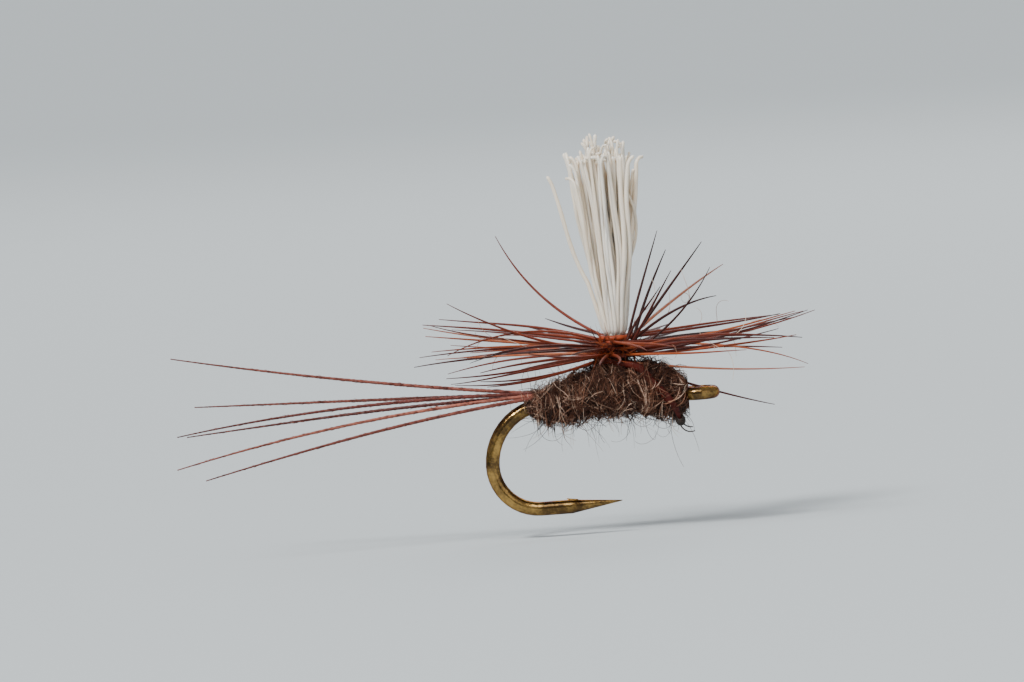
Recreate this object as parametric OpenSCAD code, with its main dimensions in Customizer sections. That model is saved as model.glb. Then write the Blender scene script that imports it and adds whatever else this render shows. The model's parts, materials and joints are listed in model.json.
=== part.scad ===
// Parachute dry fly: a small mayfly imitation tied on a bronze hook, in millimetres.
//
// Frame: the origin is the middle of the hook's eye. +X points out of the eye, +Z up, and the
// shank lies along X. The hook's plane is Y = 0, so +Y is the fly's left side.
// A place on the hook is given as its distance back from the eye along the wire's centre line.
//
// Moving parts bend where they leave their thread wraps, so each hinge axis passes through a root:
//   tail fibres   about Y, tail_root_s back from the eye and tail_lay_r above the wire's middle
//   wing post     about Y through post_seat
//   hackle barbs  in four groups, each about a level tangent to the wound stem's outside, halfway
//                 up its turns

/* [Hook] */
// Diameter of the hook wire
wire_d = 0.37; // [0.33:0.01:0.39]
// Distance from the middle of the eye back to the start of the bend
shank_l = 4.00; // [3.9:0.02:4.1]
// Centre-line radius of the upper part of the bend
bend_upper_r = 1.55; // [1.45:0.05:1.65]
// Height between the centre lines of shank and spear
gape = 2.75; // [2.65:0.01:2.85]
// Length of the straight spear between the bend and the point
spear_l = 0.82; // [0.7:0.02:1]
// Length of the tapered point
point_l = 1.32; // [1.1:0.02:1.5]
// Diameter of the hole through the eye
eye_bore_d = 0.44; // [0.4:0.02:0.48]
// Diameter of the wire that forms the eye
eye_wire_d = 0.35; // [0.31:0.01:0.36]

/* [Thread] */
// Width of one wrap of tying thread
thread_d = 0.05; // [0.045:0.005:0.055]

/* [Tail] */
// Length of the longest tail fibre behind its tie-in
tail_l = 9.5; // [8:0.1:10.5]
// Thickness of a tail fibre where it is tied in
tail_fibre_d = 0.08; // [0.06:0.005:0.085]

/* [Wing post] */
// Distance from the middle of the eye back to the post
post_back = 2.07; // [2.03:0.01:2.1]
// Height of the yarn above its collar
post_h = 5.25; // [4.5:0.05:5.6]
// Radius of the yarn bundle inside the collar
post_r = 0.25; // [0.24:0.005:0.255]
// Radius of the brushed-out yarn at the top
post_top_r = 0.9; // [0.7:0.05:1]
// Thickness of one yarn filament
yarn_d = 0.075; // [0.06:0.005:0.075]

/* [Hackle] */
// Turns of the hackle stem round the post
hackle_turns = 4; // [3:1:4]
// Thickness of the hackle stem at its butt
stem_d = 0.15; // [0.12:0.01:0.15]
// Number of barbs that lie in the level fan
barb_count = 57; // [41:4:61]
// Length of a barb
barb_l = 4.75; // [4:0.05:5]
// Thickness of a barb at the stem
barb_d = 0.07; // [0.05:0.005:0.08]

/* [Body] */
// Radius of the spun fur rope that forms the abdomen
abdomen_rope_r = 0.105; // [0.095:0.005:0.11]
// Radius of the spun fur rope that forms the thorax
thorax_rope_r = 0.15; // [0.13:0.005:0.155]
// Number of guard hairs that stand out of each body part
guard_hair_count = 26; // [10:2:40]

/* [Hidden] */

$fn = 48;
gap = 0.004;                              // air between neighbouring solids
side_count = 6;                           // flats round a fibre
up = [0, 0, 1];
left = [0, 1, 0];
forward = [1, 0, 0];

bronze = [0.47, 0.34, 0.14];
thread_brown = [0.13, 0.08, 0.06];
hackle_brown = [0.45, 0.14, 0.07];
yarn_white = [0.92, 0.9, 0.86];
fur_brown = [0.36, 0.26, 0.21];
hair_grey = [0.5, 0.41, 0.36];

wire_r = wire_d / 2;
bend_lower_r = gape - bend_upper_r;
bend_x = -shank_l;                        // the two arcs of the bend share this start
bend_lower_x = bend_x - bend_upper_r + bend_lower_r;
spear_z = -gape;
point_tilt = 2.9;                         // the point's top line stays nearly straight
point_tip_r = 0.012;
pinched_barb_r = 0.055;
pinched_barb_l = 0.3;
pinched_barb_tilt = 74;                   // the barb is pressed down to a low ramp
eye_ring_r = (eye_bore_d + eye_wire_d) / 2 - 0.012;  // the ring's inner crest is cut to a short round wall
neck_l = 0.45;                            // taper from the shank down to the eye's wire
head_front = 0.55;                        // where the whip finish starts behind the eye
head_l = 0.27;
base_front = head_front + head_l + gap;
base_r = wire_r + gap + thread_d;         // outside of the thread base

tail_root_s = 4.46;                        // distance back from the eye to the tail's last wrap
tail_fan = 18;                            // degrees between fibres round the top of the shank
tail_lay_r = base_r + gap + tail_fibre_d / 2;
tail_count = 6;

post_x = -post_back;
post_bend_r = 0.48;                       // radius at which the yarn turns up from the shank
yarn_pitch = yarn_d + 0.004;
yarn_row = yarn_pitch * sin(60);
foot_half_h = 0.12;                       // the thread presses the yarn flat on the shank
foot_half_w = 0.2;
foot_z = base_r + gap + foot_half_h;
foot_l = 0.86;                            // length of yarn lying along the shank
collar_z = foot_z + post_bend_r + 0.02;
collar_h = 0.82;
collar_r = post_r + gap + thread_d;
post_seat = [post_x, 0, collar_z + collar_h + 0.04];

stem_r = stem_d / 2;
stem_orbit = collar_r + gap + stem_r;
stem_pitch = stem_d + 0.012;
stem_top_z = collar_z + collar_h - stem_r;
stem_bottom_z = stem_top_z - hackle_turns * stem_pitch;

// ---------- fibres: a tapering tube with flat sides along a path ----------

// A repeatable spread from -1 to 1 for fibre number i; k picks one of several independent spreads.
function spread(i, k) = sin(i * 137.508 * (1 + 0.37 * k) + 71 * k);

// Points of one ring round c, square to dir; across is never parallel to dir. The ring measures
// wide along across and tall the other way, both as radii.
function ring(c, dir, tall, wide, across, sides) =
    let (t = dir / norm(dir),
         a = cross(t, across) / norm(cross(t, across)),
         b = cross(t, a))
    [for (i = [0 : sides - 1])
        c + tall * cos(360 * i / sides) * a + wide * sin(360 * i / sides) * b];

function ring_quad(a, b, c, d) = [[a, b, c], [a, c, d]];

module strand(path, radii, across, widths = undef, sides = side_count) {
    n = len(path);
    m = sides;
    wide = is_undef(widths) ? radii : widths;
    points = [for (i = [0 : n - 1])
        each ring(path[i], path[min(i + 1, n - 1)] - path[max(i - 1, 0)],
                  radii[i], wide[i], across, m)];
    walls = [for (i = [0 : n - 2]) for (k = [0 : m - 1])
        let (next = (k + 1) % m)
        each ring_quad(i * m + k, (i + 1) * m + k, (i + 1) * m + next, i * m + next)];
    root_cap = [for (k = [1 : m - 2]) [0, k, k + 1]];
    tip_cap = [for (k = [1 : m - 2]) [(n - 1) * m, (n - 1) * m + k + 1, (n - 1) * m + k]];
    polyhedron(points = points, faces = concat(walls, root_cap, tip_cap));
}

// A thin radius profile: full for the first part, then a fine tip.
function fibre_radii(n, r, tip = 0.25) = [for (i = [0 : n]) r * (1 - (1 - tip) * pow(i / n, 1.6))];

// A path of n steps that leaves start at (azimuth, elevation) and turns up by curl over its length.
function arc_path(start, azimuth, elevation, length, curl, n, sweep = 0) =
    [for (i = [0 : n]) start + length / n * arc_sum(azimuth, elevation, curl, sweep, n, i)];
function arc_sum(azimuth, elevation, curl, sweep, n, i) =
    i == 0 ? [0, 0, 0]
           : arc_sum(azimuth, elevation, curl, sweep, n, i - 1)
             + aim(azimuth + sweep * i / n, elevation + curl * (i - 0.5) / n);
function aim(azimuth, elevation) =
    [cos(azimuth) * cos(elevation), sin(azimuth) * cos(elevation), sin(elevation)];

// ---------- places along the hook ----------

function bend_angle(s) = max(0, s - shank_l) / bend_upper_r * 180 / PI;
function spine(s) =
    let (a = bend_angle(s))
    [-min(s, shank_l) - bend_upper_r * sin(a), 0, -bend_upper_r * (1 - cos(a))];
function spine_up(s) = let (a = bend_angle(s)) [-sin(a), 0, cos(a)];

// A point on a wrap: s back from the eye, turned by angle from the top, lifted off the wire.
function wrap_point(s, angle, orbit, lift) =
    spine(s) + (lift + orbit * cos(angle)) * spine_up(s) + orbit * sin(angle) * left;

// ---------- thread wraps: touching turns drawn as one ribbed sleeve ----------

module thread_sleeve(inner_r, length, bulge = 0) {
    n = max(2, round(length / (thread_d * 0.9)));
    step = length / n;
    rotate_extrude()
        union() {
            translate([inner_r, 0]) square([thread_d / 2, length]);
            if (bulge > 0)
                translate([inner_r, step]) square([thread_d / 2 + bulge * 0.8, length - 2 * step]);
            for (i = [0 : n - 1])
                translate([inner_r + thread_d / 2 + bulge * sin(180 * (i + 0.5) / n), (i + 0.5) * step])
                    circle(d = thread_d);
        }
}

// Turns a sleeve's length from Z to -X, starting s back from the eye.
module along_shank(s, lift = 0) {
    translate([-s, 0, lift]) rotate([0, -90, 0]) children();
}

// ---------- hook ----------

module bend_arc(x, r, start) {
    translate([x, 0, -bend_upper_r]) rotate([90, 0, 0]) rotate([0, 0, start])
        rotate_extrude(angle = 90) translate([r, 0]) circle(r = wire_r);
}

module eye_ring() {
    slit = 0.02;                          // the wire's end stops just short of the shank
    difference() {
        rotate_extrude() translate([eye_ring_r, 0]) circle(d = eye_wire_d);
        cylinder(d = eye_bore_d, h = 1, center = true);
        rotate([0, 0, 140]) translate([eye_ring_r, -slit / 2, -0.5]) cube([0.5, slit, 1]);
    }
}

module hook() {
    color(bronze) union() {
        eye_ring();
        translate([-eye_ring_r - neck_l, 0, 0]) rotate([0, 90, 0])
            cylinder(r1 = wire_r, r2 = eye_wire_d / 2 - 0.015, h = neck_l);
        translate([bend_x, 0, 0]) rotate([0, 90, 0])
            cylinder(r = wire_r, h = shank_l - eye_ring_r - neck_l);
        bend_arc(bend_x, bend_upper_r, 90);
        bend_arc(bend_lower_x, bend_lower_r, 180);
        translate([bend_lower_x, 0, spear_z]) rotate([0, 90, 0]) cylinder(r = wire_r, h = spear_l);
        translate([bend_lower_x + spear_l - 0.02, 0, spear_z]) rotate([0, 90 - point_tilt, 0])
            cylinder(r1 = wire_r, r2 = point_tip_r, h = point_l + 0.02);
        translate([bend_lower_x + spear_l + pinched_barb_l / 2, 0, spear_z + wire_r * 0.72])
            rotate([0, -pinched_barb_tilt, 0])
                cylinder(r1 = pinched_barb_r, r2 = point_tip_r, h = pinched_barb_l);
    }
}

module thread_base() {
    color(thread_brown) along_shank(base_front)
        thread_sleeve(wire_r + gap, shank_l - 0.02 - base_front);
}

// ---------- tail ----------

// Lay angle of fibre k round the top of the shank.
function tail_lay(k) = (k - (tail_count - 1) / 2) * tail_fan;
function tail_start(k) =
    [-tail_root_s, tail_lay_r * sin(tail_lay(k)), tail_lay_r * cos(tail_lay(k))];

// Each fibre: [azimuth, elevation, curl, share of tail_l, sideways sweep], fanned like the real tuft.
TAIL = [
    [188, -5.5, -9, 0.95, 3],
    [184, -1.5, -11, 1.00, 4],
    [182, 3.0, -8, 0.98, -2],
    [179, 7.0, 8, 1.00, -3],
    [173, 2.5, -1, 0.93, 5],
    [170, 0.5, -7, 0.99, -4]
];

module tail_fibre(k) {
    steps = 7;
    t = TAIL[k];
    color(hackle_brown)
        strand(arc_path(tail_start(k), t[0], t[1], tail_l * t[3], t[2], steps, t[4]),
               fibre_radii(steps, tail_fibre_d / 2), left);
}

module tail_butts() {
    butt_l = 1.15;
    color(hackle_brown)
        for (k = [0 : tail_count - 1])
            translate(tail_start(k)) translate([gap, 0, 0]) rotate([0, 90, 0])
                cylinder(d = tail_fibre_d, h = butt_l);
}

// Ring that just holds the butts on top and the thread base below.
tail_lash_r = (tail_lay_r + tail_fibre_d / 2 + base_r) / 2 + gap;
tail_lash_lift = tail_lash_r - gap - base_r;
tail_lash_s = 3.5;
tail_lash_l = 0.48;

module tail_lashing() {
    color(thread_brown)
        along_shank(tail_lash_s, tail_lash_lift) thread_sleeve(tail_lash_r, tail_lash_l);
}

// ---------- wing post ----------

// Filament places across the round bundle, in close-packed rows: [fore and aft, sideways].
YARN = [for (row = [-4 : 4]) for (column = [-4 : 4])
    let (p = [row * yarn_row, (column + (row % 2 == 0 ? 0 : 0.5)) * yarn_pitch])
    if (norm(p) <= post_r - yarn_d / 2) p];

// The yarn's lower part, pressed into one bundle: it lies on the shank, its cut end tapered, and
// bends up through the collar.
module wing_post_butts() {
    bend_steps = 5;
    end_half_h = 0.05;
    bend = [for (i = [0 : bend_steps])
        let (a = 90 * i / bend_steps)
        [post_x - post_bend_r * (1 - sin(a)), 0, foot_z + post_bend_r * (1 - cos(a))]];
    path = concat([[post_x - post_bend_r - foot_l, 0, foot_z - foot_half_h + end_half_h],
                   [post_x - post_bend_r - foot_l / 2, 0, foot_z]],
                  bend,
                  [[post_x, 0, post_seat[2] - gap]]);
    open = [for (i = [0 : bend_steps]) i / bend_steps];
    color(yarn_white)
        strand(path,
               concat([end_half_h, foot_half_h],
                      [for (w = open) foot_half_h + (post_r - foot_half_h) * w], [post_r]),
               left,
               concat([foot_half_w * 0.7, foot_half_w],
                      [for (w = open) foot_half_w + (post_r - foot_half_w) * w], [post_r]),
               20);
}

// Ring round the thread base and the yarn on top of it.
foot_lash_r = base_r + foot_half_h + 1.5 * gap;
foot_lash_lift = foot_lash_r - gap - base_r;
foot_lash_s = 2.93;
foot_lash_l = 0.32;

module post_foot_lashing() {
    color(thread_brown)
        along_shank(foot_lash_s, foot_lash_lift) thread_sleeve(foot_lash_r, foot_lash_l);
}

module post_collar() {
    color(thread_brown) translate([post_x, 0, collar_z]) thread_sleeve(post_r + gap, collar_h);
}

// The brushed-out yarn: a filament leans out with its place in the bundle, and straightens again.
function post_path(p, i, steps) =
    let (flare = (post_top_r - yarn_d / 2) / (post_r - yarn_d / 2),
         height = post_h * (0.93 + 0.07 * spread(i, 1)),
         lean = [-0.12 + 0.05 * spread(i, 2), 0.07 * spread(i, 3)])
    [for (j = [0 : steps])
        let (t = j / steps, open = 1 + (flare - 1) * sin(90 * min(1, t * 1.05)))
        post_seat + [p[0] * open + lean[0] * t * t, p[1] * open + lean[1] * t * t, height * t]];

module wing_post() {
    steps = 5;
    color(yarn_white)
        for (i = [0 : len(YARN) - 1])
            strand(post_path(YARN[i], i, steps), [for (j = [0 : steps]) yarn_d / 2 - 0.002], left);
}

// ---------- hackle ----------

// Centre line of the wound stem, turned by angle from the front of the post at its top.
function stem_point(angle) =
    [post_x + stem_orbit * cos(angle), stem_orbit * sin(angle),
     stem_top_z - stem_pitch * angle / 360];

// The stem's end leaves the post on the right side and runs down over the thorax to the head.
stem_end = [
    [-1.58, -0.62, stem_bottom_z - 0.12],
    [-1.18, -0.84, 0.44],
    [-0.80, -0.90, -0.04],
    [-0.58, -0.74, -0.36],
    [-0.54, -0.50, -0.62]
];
stem_leave = 360 * hackle_turns - 90;     // the angle at which the stem leaves the post
stem_thin = 0.3;                          // share of its thickness that the stem loses to its end
tie_off_l = 0.22;
tie_off_bulge = 0.03;

module hackle_stem() {
    step = 20;
    wound = [for (a = [0 : step : stem_leave]) stem_point(a)];
    path = concat(wound, stem_end);
    color(hackle_brown)
        strand(path, [for (i = [0 : len(path) - 1]) stem_r * (1 - stem_thin * i / len(path))], up);
}

module stem_tie_off() {
    last = len(stem_end) - 1;
    way = stem_end[last] - stem_end[last - 1];
    turn = atan2(way[1], way[0]);
    dip = acos(way[2] / norm(way));
    color(thread_brown)
        translate(stem_end[last] - 0.06 * way / norm(way)) rotate([0, dip, turn])
            thread_sleeve(stem_r * (1 - stem_thin) + gap, tie_off_l, tie_off_bulge);
}

// The two cut ends of the tying thread: both curl up from under the knot.
module thread_tags() {
    knot = stem_end[len(stem_end) - 1];
    steps = 5;
    tag_radii = fibre_radii(steps, 0.022, 0.8);
    color(thread_brown) {
        strand(arc_path(knot + [0.02, 0.12, -0.17], -20, -75, 0.5, 90, steps), tag_radii, left);
        strand(arc_path(knot + [0.10, 0.08, -0.13], -5, -40, 0.3, 50, steps), tag_radii, left);
    }
}

// Barbs as [azimuth, elevation, length, curl, angle along the stem].
LEVEL_BARBS = [for (i = [0 : barb_count - 1])
    let (angle = (i + 0.5) * stem_leave / barb_count)
    [angle + 22 + 9 * spread(i, 1),
     9 - 13 * i / barb_count + 8 * spread(i, 2),
     barb_l * (0.95 + 0.07 * spread(i, 3)),
     9 * spread(i, 4),
     angle]];
// Barbs that the winding forced out of the level fan.
STRAY_BARBS = [
    [12, 47, 3.3, 3, 10],
    [-8, 68, 3.6, 4, 345],
    [20, 60, 2.7, 0, 30],
    [42, 33, 4.5, -6, 40],
    [-20, 40, 3.0, -30, 330],
    [-34, 42, 3.3, 6, 700],
    [28, 50, 2.9, 4, 390],
    [150, 39, 4.9, -5, 150],
    [172, 21, 4.9, -6, 170],
    [190, 14, 4.9, -8, 185],
    [-32, -22, 4.7, 4, 1050],
    [205, 30, 4.2, -10, 200]
];
BARBS = concat(LEVEL_BARBS, STRAY_BARBS);

function barb_root(angle) =
    stem_point(angle) + (stem_r + gap) * [cos(angle), sin(angle), 0];

// Draws the barbs whose azimuth is within 45 degrees of middle.
module hackle_barbs(middle) {
    steps = 4;
    color(hackle_brown)
        for (b = BARBS)
            if (cos(b[0] - middle) > cos(45))
                strand(arc_path(barb_root(b[4]), b[0], b[1], b[2], b[3], steps),
                       fibre_radii(steps, barb_d / 2), [-sin(b[0]), cos(b[0]), 0]);
}

// ---------- dubbed body: a spun fur rope wound round the hook ----------

// Radius along a rope of n steps, drawn down to a wisp at both ends.
function rope_radius(i, n, r) = r * (0.35 + 0.65 * min(1, 10 * i / n, 10 * (n - i) / n));

abdomen_back = 4.36;
abdomen_front = 2.6;
abdomen_turns = 8;
// Top and bottom of what the abdomen is wound over, by distance back from the eye.
under_top = [[2.6, 0.60], [2.9, 0.57], [3.3, 0.56], [3.5, 0.39], [4.0, 0.38], [4.3, 0.40]];
under_bottom = [[2.7, 0.27], [2.9, 0.31], [3.3, 0.31], [3.5, 0.30], [4.0, 0.30], [4.1, 0.25]];

module abdomen_dubbing() {
    n = 12 * abdomen_turns;
    color(fur_brown)
        strand([for (i = [0 : n])
                   let (t = i / n,
                        s = abdomen_back + (abdomen_front - abdomen_back) * t,
                        top = lookup(s, under_top),
                        bottom = lookup(s, under_bottom))
                   wrap_point(s, 180 + 360 * abdomen_turns * t,
                              (top + bottom) / 2 + abdomen_rope_r, (top - bottom) / 2)],
               [for (i = [0 : n]) rope_radius(i, n, abdomen_rope_r)], forward);
}

// Distance back from the eye by wrap angle. The rope starts under the post and slants: it crosses
// over the shank in front of the post, and under it further back.
thorax_way = [[80, 2.38], [180, 2.36], [280, 2.28], [360, 1.62], [540, 2.04], [720, 1.33],
              [900, 1.70], [1080, 1.03], [1260, 1.34], [1440, 0.73], [1620, 0.98]];
thorax_first = thorax_way[0][0];
thorax_last = thorax_way[len(thorax_way) - 1][0];
thorax_lift = 0.05;                       // the thorax is built higher above the shank than below it

module thorax_dubbing() {
    n = 60;
    color(fur_brown)
        strand([for (i = [0 : n])
                   let (angle = thorax_first + (thorax_last - thorax_first) * i / n)
                   wrap_point(lookup(angle, thorax_way), angle,
                              base_r + gap + thorax_lift + thorax_rope_r, thorax_lift)],
               [for (i = [0 : n]) rope_radius(i, n, thorax_rope_r * 0.98)], forward);
}

// Hairs from s_from to s_to that start skin_r from the wire and sweep back.
module guard_hairs(s_from, s_to, skin_r, lift, k) {
    steps = 3;
    color(hair_grey)
        for (i = [0 : guard_hair_count - 1])
            let (s = s_from + (s_to - s_from) * (i + 0.5) / guard_hair_count,
                 angle = 150 * spread(i, k) + 180,
                 root = wrap_point(s, angle, skin_r, lift),
                 out = root - spine(s),
                 azimuth = atan2(out[1], out[0] - 0.5 - 0.5 * spread(i, k + 2)),
                 elevation = atan2(out[2], norm([out[0] - 0.7, out[1]])))
            strand(arc_path(root, azimuth, elevation, 0.62 + 0.25 * spread(i, k + 1),
                            -35 * spread(i, k + 3), steps),
                   fibre_radii(steps, 0.016), [-sin(azimuth), cos(azimuth), 0]);
}

// The hairs' roots stand just clear of the fur ropes.
module abdomen_guard_hairs() {
    skin_r = 0.63;
    guard_hairs(abdomen_front + 0.1, abdomen_back - 0.15, skin_r, 0.08, 1);
}

module thorax_guard_hairs() {
    skin_r = base_r + 2 * thorax_rope_r + 0.06;
    guard_hairs(0.8, 2.1, skin_r, thorax_lift, 5);
}

module head_whip_finish() {
    color(thread_brown) along_shank(head_front) thread_sleeve(wire_r + gap, head_l);
}

hook();
thread_base();
tail_butts();
tail_fibre(0);  // tail_fibre_1
tail_fibre(1);  // tail_fibre_2
tail_fibre(2);  // tail_fibre_3
tail_fibre(3);  // tail_fibre_4
tail_fibre(4);  // tail_fibre_5
tail_fibre(5);  // tail_fibre_6
tail_lashing();
wing_post_butts();
post_foot_lashing();
post_collar();
wing_post();
hackle_stem();
stem_tie_off();
thread_tags();
hackle_barbs(0);  // hackle_barbs_front
hackle_barbs(90);  // hackle_barbs_left
hackle_barbs(180);  // hackle_barbs_rear
hackle_barbs(270);  // hackle_barbs_right
abdomen_dubbing();
thorax_dubbing();
abdomen_guard_hairs();
thorax_guard_hairs();
head_whip_finish();
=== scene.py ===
"""Looks of a parachute dry fly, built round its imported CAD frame.

Shapes are worked out in millimetres in the part's own frame and scaled to metres when a mesh is
made: the origin is the hook's eye, +X points out of the eye, +Z up the wing post, +Y to the fly's
left. Strands (barbs, yarn, fur, thread) are closed, tapered tubes with two point attributes that
the materials read: tint, one value for each strand, and along, 0 at its root and 1 at its tip.
"""

import json
import math

import bpy
import numpy as np
from mathutils import Matrix, Vector


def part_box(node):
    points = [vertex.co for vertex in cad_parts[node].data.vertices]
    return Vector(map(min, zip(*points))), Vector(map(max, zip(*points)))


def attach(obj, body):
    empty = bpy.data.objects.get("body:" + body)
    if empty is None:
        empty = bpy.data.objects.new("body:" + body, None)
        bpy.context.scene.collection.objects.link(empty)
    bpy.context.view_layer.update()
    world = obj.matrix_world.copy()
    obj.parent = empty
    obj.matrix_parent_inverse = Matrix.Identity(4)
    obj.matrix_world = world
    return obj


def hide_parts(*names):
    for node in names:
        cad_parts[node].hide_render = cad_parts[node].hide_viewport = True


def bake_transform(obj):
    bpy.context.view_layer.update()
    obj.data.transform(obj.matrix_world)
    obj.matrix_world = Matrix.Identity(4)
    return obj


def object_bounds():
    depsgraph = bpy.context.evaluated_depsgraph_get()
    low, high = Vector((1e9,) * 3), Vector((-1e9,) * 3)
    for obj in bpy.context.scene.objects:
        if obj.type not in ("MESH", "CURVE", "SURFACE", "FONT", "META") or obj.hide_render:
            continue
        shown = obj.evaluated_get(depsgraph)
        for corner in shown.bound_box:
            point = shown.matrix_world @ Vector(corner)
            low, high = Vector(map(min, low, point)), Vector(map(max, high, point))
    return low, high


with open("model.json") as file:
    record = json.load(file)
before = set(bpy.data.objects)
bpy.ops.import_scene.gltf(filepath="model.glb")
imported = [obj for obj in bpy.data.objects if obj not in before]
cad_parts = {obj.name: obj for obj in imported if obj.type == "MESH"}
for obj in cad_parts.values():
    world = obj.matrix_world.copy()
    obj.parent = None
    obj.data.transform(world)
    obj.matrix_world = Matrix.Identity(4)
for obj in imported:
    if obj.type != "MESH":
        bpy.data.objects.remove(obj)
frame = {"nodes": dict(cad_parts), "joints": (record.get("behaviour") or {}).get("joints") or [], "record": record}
cad_low, cad_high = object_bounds()

MM = 1000.0  # millimetres in a metre
UP = np.array([0.0, 0.0, 1.0])
LEFT = np.array([0.0, 1.0, 0.0])
GOLDEN_ANGLE = 137.508  # degrees; strands turned by it one after another fill a disc evenly
ANY_PHASE = 6.28  # radians; the top of a random phase, about a full turn


# ---------- places read from the frame, in millimetres ----------


def corners(node):
    """The lowest and highest corners of a CAD node's box."""
    low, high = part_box(node)
    return np.array(low) * MM, np.array(high) * MM


def pivot(joint_name):
    """The place of a joint."""
    joint = next(j for j in frame["joints"] if j["name"] == joint_name)
    return np.array(joint["pos_m"]) * MM


def mount_radius(mount_name):
    """The radius of a mount's pin or bore."""
    mount = next(m for m in frame["record"]["mounts"] if m["name"] == mount_name)
    return mount["dims"]["r_mm"]


post_seat = pivot("wing_post_lean")
tail_root = pivot("tail_flex")
post_x = post_seat[0]
post_top = corners("wing_post")[1][2]
collar_low, collar_high = corners("post_collar")
collar_r = (collar_high[0] - collar_low[0]) / 2
knot = sum(corners("stem_tie_off")) / 2

wire_r = mount_radius("vise_grip")
shank_l = 4.0  # from the eye back to the start of the bend
bend_r = 1.55  # centre line of the bend's upper part

stem_r = 0.075  # the hackle's quill at its butt
stem_turns = 4
stem_pitch = 2 * stem_r + 0.012
stem_orbit = collar_r + 0.004 + stem_r
stem_top = collar_high[2] - stem_r
stem_bottom = stem_top - stem_turns * stem_pitch
stem_leave = 360 * stem_turns - 90  # degrees down its turns at which the quill leaves the post


# ---------- vector helpers ----------


def unit(v):
    return v / np.maximum(np.linalg.norm(v, axis=-1, keepdims=True), 1e-12)


def aim(azimuth, elevation):
    """Unit vectors for azimuth and elevation in degrees."""
    a, e = np.radians(azimuth), np.radians(elevation)
    return np.stack([np.cos(a) * np.cos(e), np.sin(a) * np.cos(e), np.sin(e) + 0 * a], -1)


def headings(way):
    """Azimuth and elevation in degrees of unit vectors."""
    azimuth = np.degrees(np.arctan2(way[:, 1], way[:, 0]))
    return azimuth, np.degrees(np.arcsin(np.clip(way[:, 2], -1, 1)))


def arcs(start, azimuth, elevation, length, curl, sweep=0.0, steps=16):
    """Strand paths that leave start and turn up by curl and sideways by sweep, in degrees."""
    start = np.atleast_2d(start)
    shape = (len(start), 1)
    azimuth, elevation, length, curl, sweep = [
        np.broadcast_to(np.asarray(v, float).reshape(-1, 1), shape)
        for v in (azimuth, elevation, length, curl, sweep)
    ]
    t = (np.arange(steps) + 0.5)[None, :] / steps
    moves = aim(azimuth + sweep * t, elevation + curl * t) * (length / steps)[..., None]
    paths = start[:, None, :] + np.cumsum(moves, axis=1)
    return np.concatenate([start[:, None, :], paths], axis=1)


def smooth(points, count):
    """count points on a Catmull-Rom curve through the given points."""
    p = np.asarray(points, float)
    p = np.vstack([2 * p[0] - p[1], p, 2 * p[-1] - p[-2]])
    u = np.linspace(0, len(p) - 3, count)
    i = np.minimum(u.astype(int), len(p) - 4)
    t = (u - i)[:, None]
    a, b, c, d = p[i], p[i + 1], p[i + 2], p[i + 3]
    linear = (c - a) * t
    square = (2 * a - 5 * b + 4 * c - d) * t**2
    cube = (3 * b - a - 3 * c + d) * t**3
    return 0.5 * (2 * b + linear + square + cube)


def wander(rng, count, points, size, waves=2.0):
    """A smooth random offset for each point of each strand, growing from zero at the root."""
    t = np.linspace(0, 1, points)[None, :, None]
    phase = rng.uniform(0, 2 * np.pi, (count, 1, 3))
    rate = rng.uniform(0.5, 1.0, (count, 1, 3)) * waves * np.pi
    push = rng.normal(0, 1, (count, 1, 3))
    return size * t * push * (np.sin(rate * t + phase) - np.sin(phase) * (1 - t))


def taper(count, points, radius, tip=0.2, power=1.6):
    """Radii that stay nearly full and then run out to the share tip of their start."""
    t = np.linspace(0, 1, points)[None, :]
    radius = np.broadcast_to(np.asarray(radius, float).reshape(-1, 1), (count, 1))
    return radius * (1 - (1 - tip) * t**power)


def grow(t, start, over):
    """0 up to start, then a straight climb to 1 that takes over."""
    return np.clip((t - start) / over, 0, 1)


# ---------- places along the hook ----------


def spine(s):
    """Centre line and outward direction of the hook's wire, s mm back from the eye."""
    s = np.asarray(s, float)
    a = np.maximum(0, s - shank_l) / bend_r
    x = -np.minimum(s, shank_l) - bend_r * np.sin(a)
    z = -bend_r * (1 - np.cos(a))
    zero = np.zeros_like(s)
    return np.stack([x, zero, z], -1), np.stack([-np.sin(a), zero, np.cos(a)], -1)


def around(s, angle, radius):
    """A place radius from the wire's centre line; angle in radians from the top towards +Y."""
    centre, outward = spine(s)
    return centre + radius[..., None] * (
        np.cos(angle)[..., None] * outward + np.sin(angle)[..., None] * LEFT
    )


# ---------- meshes ----------


def set_values(mesh, name, values):
    """Stores one number for each point, for the materials to read."""
    attribute = mesh.attributes.new(name, "FLOAT", "POINT")
    attribute.data.foreach_set("value", np.asarray(values, np.float32))


def add_mesh(name, mesh):
    mesh.polygons.foreach_set("use_smooth", np.ones(len(mesh.polygons), bool))
    mesh.update()
    obj = bpy.data.objects.new(name, mesh)
    bpy.context.scene.collection.objects.link(obj)
    return obj


def section_ways(paths, first):
    """Tangents of each path, and normals that start square to first and turn no more than needed."""
    tangent = unit(np.gradient(paths, axis=1))
    normal = np.empty_like(tangent)
    normal[:, 0] = unit(np.cross(tangent[:, 0], np.broadcast_to(first, (len(paths), 3))))
    for i in range(1, paths.shape[1]):
        last = normal[:, i - 1]
        along = (last * tangent[:, i]).sum(-1, keepdims=True) * tangent[:, i]
        normal[:, i] = unit(last - along)
    return tangent, normal


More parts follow.
